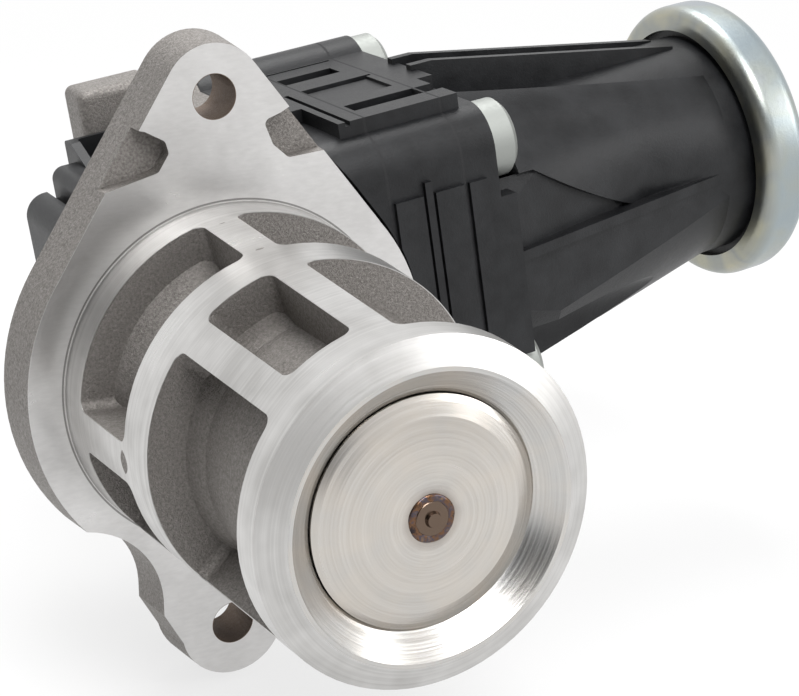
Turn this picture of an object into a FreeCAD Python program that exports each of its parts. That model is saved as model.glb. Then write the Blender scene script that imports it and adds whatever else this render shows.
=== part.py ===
"""EGR valve: a poppet in a cast cage, lifted by a cam that a geared motor turns.

Millimetres. The origin is on the valve stem's axis, in the machined face of the
mounting flange. The poppet faces -Y and the two ears point along Z. The actuator
(cam shaft, gears and motor) lies along an axis that leans up from +X by "lean", so
its pieces are drawn in straight axes (along, back, up) and turned about Y as they
are placed: along runs down the motor, back is +Y and up is square to both.
"""
import FreeCAD
import Part
import Sketcher

import math
import os
import re

V = FreeCAD.Vector

SIZES = {
    # mounting flange
    "hole_x": -1.7, "top_hole_z": 41.9, "low_hole_z": -40.1, "hole_diameter": 6.6,
    "flange_radius": 31.7, "flange_thick": 9.0, "ear_radius": 7.7, "low_ear_radius": 8.3,
    "low_ear_half_width": 11.0, "waist_radius": 13.8, "waist_x": 24.8, "waist_z": -34.2,
    "face_pocket_deep": 2.6, "casting_draft": 0.8, "lean": 8.0,
    # cage that stands forward of the flange
    "collar_radius": 26.3, "lip_radius": 23.2, "lip_front": 61.0, "land_front": 63.0,
    "land_radius": 19.6, "core_radius": 19.4, "core_waist_radius": 18.2,
    "row_a_rear": 6.2, "row_a_front": 22.0, "row_b_rear": 29.6, "row_b_front": 56.6,
    "small_pocket_front": 54.0, "pocket_corner": 1.6,
    "rib_a_low": 94.0, "rib_a_high": 105.3, "rib_c_low": 130.0, "rib_c_high": 142.0,
    "rib_b_low": 178.5, "rib_b_high": 192.0, "rib_d_low": 225.0, "rib_d_high": 237.0,
    "rib_e_low": 331.0, "rib_e_high": 345.0, "port_margin": 4.0,
    "chamber_radius": 14.6, "chamber_rear": 24.0,
    # seat, poppet and stem
    "seat_rear": 57.6, "seat_mouth_radius": 19.0, "seat_cone_radius": 15.7, "seat_cone_front": 60.1,
    "seat_throat_radius": 13.6, "seat_cone_rear": 58.0, "poppet_gap": 0.15, "poppet_front": 62.3,
    "poppet_flat_radius": 8.0, "stem_radius": 3.0, "stem_tip_radius": 2.4, "running_fit": 0.03,
    "bush_radius": 5.0, "bush_front": 23.5, "bush_rear": 4.6, "lift": 6.0,
    # return spring
    "spring_bore_radius": 7.7, "spring_floor": -4.0, "spring_radius": 5.9, "spring_wire": 1.6,
    "spring_coils": 6.5, "spring_rear": 20.0, "plate_thick": 1.6, "plate_radius": 7.2,
    # cam follower
    "roller_back": 28.8, "roller_radius": 4.0, "roller_width": 6.6, "pin_radius": 1.5,
    "fork_cheek": 2.2, "fork_gap": 7.2, "fork_half_height": 3.7, "cam_low_radius": 5.0,
    "cam_gap": 0.15, "cam_width": 5.6, "cam_turn": 150.0,
    # cam shaft
    "shaft_radius": 4.0, "shaft_left": -10.4, "shaft_right": 35.6, "shaft_bush_radius": 6.0,
    "bearing_radius": 8.0, "bearing_width": 5.0, "bearing_start": 8.6, "seal_start": 14.6,
    "seal_width": 4.0, "magnet_thick": 1.6,
    # rear body
    "boss_radius": 14.0, "boss_rear": 26.0, "box_left": -10.2, "box_rear": 52.2, "box_half_height": 16.0,
    "box_wall": 2.6, "room_front": 22.5, "room_left": -6.6, "room_right": 7.4, "plug_radius": 8.6,
    "plate_left": 11.0, "wall_left": -0.9, "wall_front": 50.0, "wall_low": 10.0, "wall_top": 34.6,
    "casting_corner": 2.5,
    # gear case
    "case_left": 19.5, "gasket": 0.4, "inner_case_right": 30.6, "outer_case_right": 43.8,
    "motor_flange_right": 50.0, "screw_front": 10.5, "screw_rear": 53.0, "screw_top": 21.4,
    "screw_rear_top": 25.7, "screw_low": -17.5, "boss_size": 6.7, "case_top": 30.4, "case_step": 22.5,
    "case_wall": 2.6, "tier_left": 26.4, "tier_right": 47.2, "tier_front": 9.0, "pocket_deep": 1.6,
    "panel_deep": 0.5, "pad_proud": 0.8, "pad_top": 17.5, "foot_right": 52.8, "foot_top": 13.6,
    "inner_case_floor": 24.4, "outer_case_floor": 41.6, "case_gap": 0.5,
    "screw_radius": 2.5, "screw_hole_radius": 2.8, "screw_head_radius": 6.3, "screw_head": 4.7,
    "screw_left": 12.5, "screw_socket_radius": 2.4,
    # gears
    "idler_angle": 118.3, "motor_angle": -78.7, "fine_module": 0.6, "coarse_module": 0.9,
    "pinion_teeth": 11, "big_teeth": 32, "small_teeth": 10, "cam_gear_teeth": 30, "backlash": 0.14,
    "cam_gear_left": 30.2, "coarse_width": 5.0, "big_gear_left": 36.4, "fine_width": 4.4,
    "idler_pin_radius": 1.5, "gear_room": 0.4,
    # motor
    "can_radius": 17.0, "can_wall": 1.4, "can_left": 46.9, "spacer_long": 12.6, "tube_radius": 19.6,
    "tube_gap": 0.25, "tube_right": 110.4, "tube_front_wall": 2.4,
    "rotor_radius": 11.4, "rotor_left": 55.0, "rotor_inset": 15.0, "motor_shaft_radius": 1.5,
    "magnet_inner_radius": 12.1, "motor_bearing_radius": 3.9, "motor_nose_radius": 6.9,
    "commutator_inset": 11.0, "commutator_radius": 5.0, "commutator_width": 4.5, "brush_long": 5.0,
    "cap_overhang": 5.3, "cap_left": 103.6, "cap_right": 112.8, "cap_wall": 1.2, "cap_gap": 0.3,
    "cap_mouth_gap": 1.3,
    "rib_thick": 1.7, "gusset_radius": 28.2, "gusset_end": 100.0, "pad_radius": 27.2, "pad_end": 78.0,
    "rib_start": 60.0, "front_rib_up": 2.4,
    # sensor cover and connector
    "cover_gasket": 0.3, "cover_left": -14.6, "cover_wall": 1.4, "cover_front": 29.5, "cover_rear": 45.0,
    "cover_top": 14.5, "cover_low": -12.5, "lobe_radius": 4.5, "cover_screw_radius": 1.5,
    "front_screw_up": 8.0, "rear_screw_up": 0.0, "room_side": 1.6, "room_low": 4.5, "room_top": 3.0,
    "board_gap": 0.3, "board_thick": 0.9, "upright_top": 21.4, "step_left": -9.2, "step_top": 25.0,
    "bridge_thick": 3.7, "bridge_gap": 0.3, "socket_left": -4.8, "socket_right": 9.5,
    "socket_front": 34.0, "socket_rear": 49.4, "socket_top": 27.9, "socket_front_top": 22.5, "socket_wall": 1.6,
    "terminal_pitch": 2.2, "terminal_size": 0.64, "terminal_long": 4.0,
}

doc = FreeCAD.newDocument("EgrValve")
sheet = doc.addObject("Spreadsheet::Sheet", "Sizes")
for row, (alias, size) in enumerate(SIZES.items(), 1):
    sheet.set("A%d" % row, alias)
    sheet.set("B%d" % row, str(size))
    sheet.setAlias("B%d" % row, alias)
doc.recompute()

nodes = {}


def bind(item, path, text):
    """Bind a property to an expression in which {name} stands for a size of the sheet."""
    item.setExpression(path, re.sub(r"\{(\w+)\}", r"Sizes.\1", str(text)))


def keep(label, item):
    """Name a finished sub-part."""
    item.Label = label
    nodes[label] = item
    return item


def origin_feature(body, role):
    for feature in body.Origin.OriginFeatures:
        if feature.Role == role:
            return feature
    raise ValueError(role)


def new_sketch(body, role, start="0"):
    sketch = body.newObject("Sketcher::SketchObject", "Outline")
    sketch.AttachmentSupport = [(origin_feature(body, role), "")]
    sketch.MapMode = "FlatFace"
    bind(sketch, "AttachmentOffset.Base.z", start)
    return sketch


def fix_point(sketch, geometry, end, across, upward):
    """Tie a point of the sketch to two expressions."""
    spot = sketch.getPoint(geometry, end)
    for kind, value, text in (("DistanceX", spot.x, across), ("DistanceY", spot.y, upward)):
        index = sketch.addConstraint(Sketcher.Constraint(kind, geometry, end, value))
        bind(sketch, "Constraints[%d]" % index, text)


def draw_polygon(sketch, points):
    """Closed outline whose corners are pairs of expressions."""
    count = len(points)
    first = sketch.GeometryCount
    start = [V(math.cos(math.tau * i / count), math.sin(math.tau * i / count) + 0.01, 0) for i in range(count)]
    for i in range(count):
        sketch.addGeometry(Part.LineSegment(start[i], start[(i + 1) % count]), False)
    for i in range(count):
        sketch.addConstraint(Sketcher.Constraint("Coincident", first + i, 2, first + (i + 1) % count, 1))
    for i, (across, upward) in enumerate(points):
        fix_point(sketch, first + i, 1, across, upward)


def draw_circle(sketch, across, upward, radius):
    circle = sketch.addGeometry(Part.Circle(V(0.3, 0.2, 0), V(0, 0, 1), 1), False)
    index = sketch.addConstraint(Sketcher.Constraint("Radius", circle, 1))
    bind(sketch, "Constraints[%d]" % index, radius)
    fix_point(sketch, circle, 3, across, upward)


def turned(axis, points):
    """Solid of revolution about the body's X or Y axis, from (along, radius) corners."""
    body = doc.addObject("PartDesign::Body", "Turned")
    sketch = new_sketch(body, "XY_Plane")
    draw_polygon(sketch, points if axis == "X" else [(radius, along) for along, radius in points])
    doc.recompute()
    feature = body.newObject("PartDesign::Revolution", "Revolution")
    feature.Profile = (sketch, [""])
    feature.ReferenceAxis = (sketch, ["H_Axis" if axis == "X" else "V_Axis"])
    feature.Angle = 360
    return body


def slab(axis, low, high, *outlines):
    """Prism along X, Y or Z between two expressions; an outline is corners or (across, up, radius)."""
    body = doc.addObject("PartDesign::Body", "Slab")
    role = {"X": "YZ_Plane", "Y": "XZ_Plane", "Z": "XY_Plane"}[axis]
    sketch = new_sketch(body, role, "-(%s)" % high if axis == "Y" else low)
    for outline in outlines:
        if isinstance(outline, tuple):
            draw_circle(sketch, *outline)
        else:
            draw_polygon(sketch, outline)
    doc.recompute()
    feature = body.newObject("PartDesign::Pad", "Pad")
    feature.Profile = (sketch, [""])
    bind(feature, "Length", "(%s) - (%s)" % (high, low))
    doc.recompute()
    return body


def disc(axis, low, high, radius, across="0", upward="0"):
    return slab(axis, low, high, (across, upward, radius))


def ring(axis, low, high, radius, bore):
    return slab(axis, low, high, ("0", "0", radius), ("0", "0", bore))


def box(axis, low, high, left, right, floor, roof):
    return slab(axis, low, high, [(left, floor), (right, floor), (right, roof), (left, roof)])


def soften(body, radius, choose):
    """Fillet the chosen edges of a body's last feature."""
    base = body.Tip
    names = ["Edge%d" % (i + 1) for i, edge in enumerate(base.Shape.Edges) if choose(edge)]
    feature = body.newObject("PartDesign::Fillet", "Fillet")
    feature.Base = (base, names)
    bind(feature, "Radius", radius)
    doc.recompute()
    return body


def fuse(*parts):
    joined = doc.addObject("Part::MultiFuse", "Joined")
    joined.Shapes = list(parts)
    joined.Refine = True
    return joined


def cut(base, *tools):
    carved = doc.addObject("Part::Cut", "Carved")
    carved.Base = base
    carved.Tool = tools[0] if len(tools) == 1 else fuse(*tools)
    carved.Refine = True
    return carved


def common(*parts):
    shared = doc.addObject("Part::MultiCommon", "Shared")
    shared.Shapes = list(parts)
    shared.Refine = True
    return shared


def place(item, along="0", back="0", up="0"):
    """Turn a piece into the leaning actuator axes and move it along them."""
    item.Placement = FreeCAD.Placement(V(), FreeCAD.Rotation(V(0, -1, 0), SIZES["lean"]))
    bind(item, "Placement.Rotation.Angle", "{lean}")
    bind(item, "Placement.Base.x", "(%s) * cos({lean} * 1deg) - (%s) * sin({lean} * 1deg)" % (along, up))
    bind(item, "Placement.Base.y", back)
    bind(item, "Placement.Base.z", "(%s) * sin({lean} * 1deg) + (%s) * cos({lean} * 1deg)" % (along, up))
    return item


def runs_along(axis):
    """Chooser for straight edges parallel to an axis."""
    way = {"X": V(1, 0, 0), "Y": V(0, 1, 0), "Z": V(0, 0, 1)}[axis]

    def choose(edge):
        if not isinstance(edge.Curve, Part.Line):
            return False
        return abs(abs(edge.tangentAt(edge.FirstParameter).dot(way)) - 1) < 1e-6
    return choose


def runs_outward(edge):
    """Chooser for the straight edges of a pocket tool that run away from the stem's axis."""
    if not isinstance(edge.Curve, Part.Line):
        return False
    way = edge.tangentAt(edge.FirstParameter)
    middle = edge.valueAt((edge.FirstParameter + edge.LastParameter) / 2)
    outward = V(middle.x, 0, middle.z)
    return abs(way.y) < 1e-6 and outward.Length > 1 and abs(abs(way.dot(outward.normalize())) - 1) < 1e-4


# Places that several pieces share, as (back, up) from the stem's axis
SHAFT_BACK = "({roller_back} + {roller_radius} + {cam_low_radius} + {cam_gap})"
COARSE_REACH = "({coarse_module} * ({small_teeth} + {cam_gear_teeth}) / 2)"
FINE_REACH = "({fine_module} * ({pinion_teeth} + {big_teeth}) / 2)"
IDLER_BACK = "(%s + %s * cos({idler_angle} * 1deg))" % (SHAFT_BACK, COARSE_REACH)
IDLER_UP = "(%s * sin({idler_angle} * 1deg))" % COARSE_REACH
MOTOR_BACK = "(%s + %s * cos({motor_angle} * 1deg))" % (IDLER_BACK, FINE_REACH)
MOTOR_UP = "(%s + %s * sin({motor_angle} * 1deg))" % (IDLER_UP, FINE_REACH)
CAN_RIGHT = "({cap_right} - {cap_wall} - {spacer_long})"
ROTOR_RIGHT = "(%s - {rotor_inset})" % CAN_RIGHT
CAP_RADIUS = "({tube_radius} + {cap_overhang})"
LIP_RADIUS = "(%s - {cap_wall} - {cap_gap})" % CAP_RADIUS
SCREWS = [("{screw_front}", "{screw_top}"), ("{screw_front}", "{screw_low}"),
          ("{screw_rear}", "{screw_low}"), ("{screw_rear}", "{screw_rear_top}")]
COVER_SCREWS = [("{cover_front} - 1.3", "{front_screw_up}"), ("{cover_rear} + 1.5", "{rear_screw_up}"),
                ("({cover_front} + {cover_rear}) / 2", "{cover_low} - 0.5")]


# Mounting flange: a disc and two ears, joined by webs that touch both
def drafted(body, way=-1):
    """Slope a slab's sides by the casting's draft, so that it narrows (or widens) towards the front."""
    bind(body.Tip, "TaperAngle", "%d * atan({casting_draft} / {flange_thick})" % way)
    doc.recompute()
    return body


def ear_web(grow="0"):
    reach = "sqrt({hole_x}^2 + {top_hole_z}^2)"
    spread = "acos(({flange_radius} - {ear_radius}) / %s)" % reach
    middle = "atan2({top_hole_z}; {hole_x})"
    corners = []
    for sign, at_ear in ((-1, False), (-1, True), (1, True), (1, False)):
        angle = "(%s + %d * %s)" % (middle, sign, spread)
        radius = "({%s} + %s)" % ("ear_radius" if at_ear else "flange_radius", grow)
        origin = ("{hole_x}", "{top_hole_z}") if at_ear else ("0", "0")
        corners.append(("%s + %s * cos(%s)" % (origin[0], radius, angle),
                        "%s + %s * sin(%s)" % (origin[1], radius, angle)))
    return corners


def low_shoulders():
    """Lower ear's shoulders, as offsets from its hole in halves of its width and in mm."""
    steps = [(-1.9, 19), (-1, 6.2), (-1, 3.3), (-0.62, -4.8), (0.62, -4.8), (1, 3.3), (1, 6.2), (1.9, 19)]
    return [("{hole_x} + %g * ({low_ear_half_width} + {casting_draft})" % across, "{low_hole_z} + %g" % up)
            for across, up in steps]


def flange():
    """Outlines are drawn at the rear, one draft wider than the machined face."""
    thick = "{flange_thick}"
    plates = [disc("Y", "0", thick, "{flange_radius} + {casting_draft}"),
              slab("Y", "0", thick, ear_web("{casting_draft}")),
              disc("Y", "0", thick, "{ear_radius} + {casting_draft}", "{hole_x}", "{top_hole_z}"),
              slab("Y", "0", thick, low_shoulders()),
              disc("Y", "0", thick, "{low_ear_radius} + {casting_draft}", "{hole_x}", "{low_hole_z}")]
    waists = [disc("Y", "0", thick, "{waist_radius} - {casting_draft}", "{hole_x} + %d * {waist_x}" % side,
                   "{waist_z}") for side in (-1, 1)]
    return cut(fuse(*[drafted(plate) for plate in plates]), *[drafted(waist, 1) for waist in waists])


def face_pockets():
    """Two as-cast corners beside the top ear, lower than the machined face."""
    left = [("-24", "41"), ("-12.4", "37.9"), ("-9.4", "36.2"), ("-8.9", "34.4"), ("-10.6", "31.8"), ("-20", "29.4")]
    right = [("13", "41"), ("8.6", "38.6"), ("5.8", "37.6"), ("7.2", "34"), ("9.6", "31.8"), ("22", "32.8")]
    return [soften(slab("Y", "-1", "{face_pocket_deep}", corners), "0.9", runs_along("Y"))
            for corners in (left, right)]


# Cage: a slightly tapered turned cylinder with cast pockets between its rings and ribs
def wedge(low, high):
    """Slice of a ring, far wider than the cage, between two angles."""
    corners = []
    for radius, shares in (("0.3 * {collar_radius}", (1, 0)), ("2.5 * {collar_radius}", (0, 0.25, 0.5, 0.75, 1))):
        for share in shares:
            angle = "((%s) + %g * ((%s) - (%s))) * 1deg" % (low, share, high, low)
            corners.append(("%s * cos(%s)" % (radius, angle), "%s * sin(%s)" % (radius, angle)))
    return corners


def pocket(low, high, rear, front):
    return soften(slab("Y", "-" + front, "-" + rear, wedge(low, high)), "{pocket_corner}", runs_outward)


def cage_core():
    """Tube that stays behind the pockets, waisted between the rings."""
    return turned("Y", [
        ("2", "0"), ("2", "{core_radius} + 3"), ("-{row_a_rear}", "{core_radius} + 1.6"),
        ("-{row_a_rear} - 3", "{core_waist_radius} + 0.6"), ("-{row_a_front} + 3", "{core_waist_radius}"),
        ("-{row_a_front}", "{core_radius}"), ("-{row_b_rear}", "{core_radius}"),
        ("-{row_b_rear} - 4", "{core_waist_radius}"), ("-{row_b_front} + 4", "{core_waist_radius}"),
        ("-{row_b_front} - 0.5", "{core_radius}"), ("-{row_b_front} - 0.5", "0")])


def cage():
    body = turned("Y", [
        ("0.5", "0"), ("0.5", "{collar_radius}"), ("0", "{collar_radius}"), ("-{lip_front}", "{lip_radius}"),
        ("-{land_front}", "{land_radius}"), ("-{land_front}", "0")])
    row_a = [("{rib_a_high}", "{rib_b_low}"), ("{rib_b_high}", "{rib_d_low}"), ("{rib_d_high}", "{rib_e_low}"),
             ("{rib_e_high}", "{rib_a_low} + 360")]
    row_b = [("{rib_c_high}", "{rib_d_low}"), ("{rib_d_high}", "{rib_e_low}"), ("{rib_e_high}", "{rib_a_low} + 360")]
    tools = [pocket(low, high, "{row_a_rear}", "{row_a_front}") for low, high in row_a]
    tools += [pocket(low, high, "{row_b_rear}", "{row_b_front}") for low, high in row_b]
    tools.append(pocket("{rib_a_high}", "{rib_c_low}", "{row_b_rear}", "{small_pocket_front}"))
    return cut(body, cut(fuse(*tools), cage_core()))


def gas_port():
    """Window low on the right of the cage, from the chamber to the duct round it."""
    return pocket("{rib_d_high} + {port_margin}", "{rib_e_low} - {port_margin}", "{row_b_rear}", "{small_pocket_front}")


# Gear case outline that the casting, both case halves, their gaskets and the motor flange share
def case_blank(left, right):
    front, rear = "({screw_front} - {boss_size})", "({screw_rear} + {boss_size})"
    low = "({screw_low} - {boss_size})"
    outline = [(front, "{screw_top}"), (front, "{screw_low}"), ("{screw_front}", low), ("{screw_rear}", low),
               (rear, "{screw_low}"), (rear, "{screw_rear_top}"), ("{screw_rear}", "{case_top}"),
               ("{case_step}", "{case_top}"), ("{case_step}", "{screw_top} + {boss_size}"),
               ("{screw_front}", "{screw_top} + {boss_size}")]
    return fuse(slab("X", left, right, outline), *[disc("X", left, right, "{boss_size}", *at) for at in SCREWS])


def upper_tier(left, right):
    """Raised front part of the case's top."""
    return box("X", left, right, "{tier_front}", "{case_step} + 1", "{screw_top}", "{case_top}")


def top_dent(left, right, front, rear, deep):
    """Cutter for a shallow shape in the case's top."""
    return box("X", left, right, front, rear, "{case_top} - " + deep, "{case_top} + 1")


def case_room(left, right):
    """Space inside the case: a box with its corners cut off round the four screws."""
    inset = "({boss_size} - {case_wall})"
    clear = "(1.414 * ({screw_hole_radius} + {case_wall}))"
    corner = "(%s + %s)" % (inset, clear)
    front, rear = "({screw_front} - %s)" % inset, "({screw_rear} + %s)" % inset
    low, roof = "({screw_low} - %s)" % inset, "({case_top} - {case_wall})"
    return slab("X", left, right, [
        (front, "{screw_top} - " + corner), (front, "{screw_low} + " + corner), ("{screw_front} + " + corner, low),
        ("{screw_rear} - " + corner, low), (rear, "{screw_low} + " + corner),
        (rear, "{screw_rear_top} - " + corner), ("{screw_rear} - " + corner, roof),
        ("{screw_front} + %s - {screw_top} + %s" % (roof, clear), roof)])


def screw_holes(left, right, radius):
    return [disc("X", left, right, radius, back, up) for back, up in SCREWS]


def flange_relief():
    """Room that the case leaves round the flange and its top ear."""
    rear, grow = "{flange_thick} + {case_gap}", "({casting_draft} + {case_gap})"
    return fuse(disc("Y", "-1", rear, "{flange_radius} + " + grow), slab("Y", "-1", rear, ear_web(grow)))


def valve_body():
    """The casting: flange, cage, spring boss, cam box, plate for the gear case and a rear wall."""
    boss = disc("Y", "{flange_thick} - 1", "{boss_rear}", "{boss_radius}")
    cam_box = box("X", "{box_left}", "{plate_left} + 2", "{boss_rear} - 6", "{box_rear}",
                  "-{box_half_height}", "{box_half_height}")
    plate = cut(case_blank("{plate_left}", "{case_left}"), box("X", "0", "60", "-5", "{flange_thick} - 0.5", "-60", "60"))
    wall = box("X", "{wall_left}", "{plate_left} + 2", "{wall_front}", "{screw_rear} + {boss_size} - 1",
               "{wall_low}", "{wall_top}")
    solid = fuse(flange(), cage(), boss, place(soften(cam_box, "{casting_corner}", runs_along("X"))), place(plate),
                 place(soften(soften(wall, "1.5", runs_along("X")), "1.5", runs_along("Z"))))
    bore = turned("Y", [
        ("-{land_front} - 1", "0"), ("-{land_front} - 1", "{land_radius}"), ("-{seat_rear}", "{land_radius}"),
        ("-{seat_rear}", "{chamber_radius}"), ("-{chamber_rear}", "{chamber_radius}"),
        ("-{chamber_rear}", "{bush_radius}"), ("{spring_floor}", "{bush_radius}"),
        ("{spring_floor}", "{spring_bore_radius}"), ("{room_front} + 1", "{spring_bore_radius}"),
        ("{room_front} + 1", "0")])
    holes = [disc("Y", "-1", "40", "{hole_diameter} / 2", "{hole_x}", z) for z in ("{top_hole_z}", "{low_hole_z}")]
    inner = "({box_half_height} - {box_wall})"
    room = box("X", "{room_left}", "{room_right}", "{room_front}", "{box_rear} - {box_wall}", "-" + inner, inner)
    bores = [disc("X", "{box_left} - 5", "0", "{shaft_bush_radius}", SHAFT_BACK),
             disc("X", "0", "{case_left} + 5", "{shaft_radius} + 1.5", SHAFT_BACK),
             disc("X", "{bearing_start}", "{case_left} + 5", "{bearing_radius}", SHAFT_BACK)]
    threads = screw_holes("{screw_left} - 0.5", "{motor_flange_right}", "{screw_radius}")
    threads += [disc("X", "{box_left} - 5", "{box_left} + 3", "{cover_screw_radius}", *at) for at in COVER_SCREWS]
    plug_hole = disc("Y", "{box_rear} - {box_wall} - 1", "{box_rear} + 1", "{plug_radius}")
    keep("valve_body", cut(solid, bore, gas_port(), plug_hole, *holes, *face_pockets(),
                           *[place(tool) for tool in [room] + bores + threads]))
    keep("cam_box_plug", disc("Y", "{box_rear} - {box_wall} + 0.3", "{box_rear} - 0.5", "{plug_radius}"))


# Seat, poppet and stem
def seat_and_poppet():
    keep("seat_ring", turned("Y", [
        ("-{land_front}", "{land_radius}"), ("-{land_front}", "{seat_mouth_radius}"),
        ("-{seat_cone_front}", "{seat_cone_radius}"), ("-{seat_cone_rear}", "{seat_throat_radius}"),
        ("-{seat_rear}", "{seat_throat_radius}"), ("-{seat_rear}", "{land_radius}")]))
    edge = "({seat_cone_radius} - 2 * {poppet_gap})"
    rear = "(1.5 - {seat_cone_rear})"
    keep("poppet_disc", turned("Y", [
        ("-{poppet_front}", "{stem_tip_radius}"), ("-{poppet_front}", "{poppet_flat_radius}"),
        ("-{poppet_front} + 0.25", "{poppet_flat_radius} + 2.2"), ("-{poppet_front} + 0.85", edge + " - 2.6"),
        ("-{poppet_front} + 1.5", edge + " - 0.9"), ("-{seat_cone_front} - 0.25", edge),
        ("-{seat_cone_front} + {poppet_gap}", edge),
        ("-{seat_cone_rear} + {poppet_gap}", "{seat_throat_radius} - 2 * {poppet_gap}"),
        (rear + " - 0.5", "{seat_throat_radius} / 2"), (rear, "{stem_tip_radius} + 1.5"), (rear, "{stem_tip_radius}")]))
    keep("valve_stem", turned("Y", [
        ("-{poppet_front} - 0.9", "0"), ("-{poppet_front} - 0.9", "0.9"), ("-{poppet_front} - 0.35", "1.1"),
        ("-{poppet_front} - 0.3", "{stem_tip_radius} - 0.2"), ("-{poppet_front} - 0.1", "{stem_tip_radius}"),
        (rear, "{stem_tip_radius}"), (rear, "{stem_radius}"), ("{spring_rear}", "{stem_radius}"),
        ("{spring_rear}", "{stem_tip_radius}"), ("{spring_rear} + {plate_thick} + 1.8", "{stem_tip_radius}"),
        ("{spring_rear} + {plate_thick} + 1.8", "0")]))


def stem_guide():
    bore = "{stem_radius} + {running_fit}"
    keep("guide_bush", ring("Y", "-{bush_front}", "-{bush_rear}", "{bush_radius}", bore))
    keep("stem_seal", ring("Y", "{spring_floor}", "{spring_floor} + 2.2", "{stem_radius} + 1.2", bore))
    keep("seal_cup", turned("Y", [
        ("{spring_floor}", "{stem_radius} + 1.2"), ("{spring_floor}", "{stem_radius} + 1.7"),
        ("{spring_floor} + 2.7", "{stem_radius} + 1.7"), ("{spring_floor} + 2.7", "{stem_radius} + 0.5"),
        ("{spring_floor} + 2.2", "{stem_radius} + 0.5"), ("{spring_floor} + 2.2", "{stem_radius} + 1.2")]))


def return_spring():
    """Coil between the spring bore's floor and the plate on the stem."""
    coil_rise = "({spring_rear} - {spring_floor} - {spring_wire} - 0.1)"
    helix = doc.addObject("Part::Helix", "Helix")
    bind(helix, "Pitch", coil_rise + " / {spring_coils}")
    bind(helix, "Height", coil_rise)
    bind(helix, "Radius", "{spring_radius}")
    section = doc.addObject("Part::Circle", "WireSection")
    bind(section, "Radius", "{spring_wire} / 2")
    section.Placement = FreeCAD.Placement(V(), FreeCAD.Rotation(V(1, 0, 0), 90))
    bind(section, "Placement.Base.x", "{spring_radius}")
    coil = doc.addObject("Part::Sweep", "Coil")
    coil.Sections = [section]
    coil.Spine = (helix, [])
    coil.Solid = True
    coil.Frenet = True
    coil.Placement = FreeCAD.Placement(V(), FreeCAD.Rotation(V(1, 0, 0), -90))
    bind(coil, "Placement.Base.y", "{spring_floor} + {spring_wire} / 2 + 0.05")
    keep("return_spring", coil)


# Fork and roller on the stem's end, and the cam that pushes them
def follower():
    seat = "({spring_rear} + {plate_thick})"
    keep("spring_plate", ring("Y", "{spring_rear}", seat, "{plate_radius}", "{stem_tip_radius}"))
    outside = "({fork_gap} / 2 + {fork_cheek})"
    inside = "({fork_gap} / 2)"
    floor = "({roller_back} - {roller_radius} - 0.4)"
    end = "({roller_back} + 2.4)"
    block = slab("Z", "-{fork_half_height}", "{fork_half_height}", [
        ("-" + outside, seat), (outside, seat), (outside, end), (inside, end), (inside, floor),
        ("-" + inside, floor), ("-" + inside, end), ("-" + outside, end)])
    stem_hole = disc("Y", "0", floor, "{stem_tip_radius}")
    pin_hole = disc("X", "-20", "20", "{pin_radius}", "{roller_back}")
    keep("follower_fork", place(cut(block, stem_hole, pin_hole)))
    keep("roller_pin", place(disc("X", "-" + outside, outside, "{pin_radius}", "{roller_back}")))
    roller = ring("X", "-{roller_width} / 2", "{roller_width} / 2", "{roller_radius}", "{pin_radius} + {running_fit}")
    keep("cam_roller", place(roller, "0", "{roller_back}"))


def lift_cam():
    """Snail cam: its edge stays one roller radius inside a path that climbs evenly with the turn."""
    turn = math.radians(sheet.cam_turn)
    path_start = sheet.cam_low_radius + sheet.roller_radius + sheet.cam_gap
    rise = sheet.lift / turn
    lead_in = math.radians(-10)
    steps = 26
    points = []
    for step in range(steps + 1):
        angle = lead_in + (turn - lead_in) * step / steps
        radius = path_start + rise * angle
        outward = V(0, -math.cos(angle), math.sin(angle))
        forward = V(0, math.sin(angle), math.cos(angle))
        normal = (outward * radius - forward * rise).normalize()
        points.append(outward * radius - normal * (sheet.roller_radius + sheet.cam_gap))
    climb = Part.BSplineCurve()
    climb.interpolate(points)
    low_radius = points[0].Length

    def on_base_circle(angle):
        return V(0, math.cos(angle), -math.sin(angle)) * low_radius

    heel, bottom = on_base_circle(0.5), on_base_circle(math.pi / 2)
    edges = [climb.toShape(), Part.LineSegment(points[-1], heel).toShape(),
             Part.Arc(heel, on_base_circle(1.1), bottom).toShape(),
             Part.Arc(bottom, on_base_circle(2.5), points[0]).toShape()]
    blank = Part.Face(Part.Wire(edges)).extrude(V(sheet.cam_width, 0, 0))
    blank.translate(V(-sheet.cam_width / 2, 0, 0))
    item = doc.addObject("Part::Feature", "Cam")
    item.Shape = blank.cut(Part.makeCylinder(sheet.shaft_radius, 2 * sheet.cam_width, V(-sheet.cam_width, 0, 0), V(1, 0, 0)))
    keep("lift_cam", place(item, "0", SHAFT_BACK))


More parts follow.
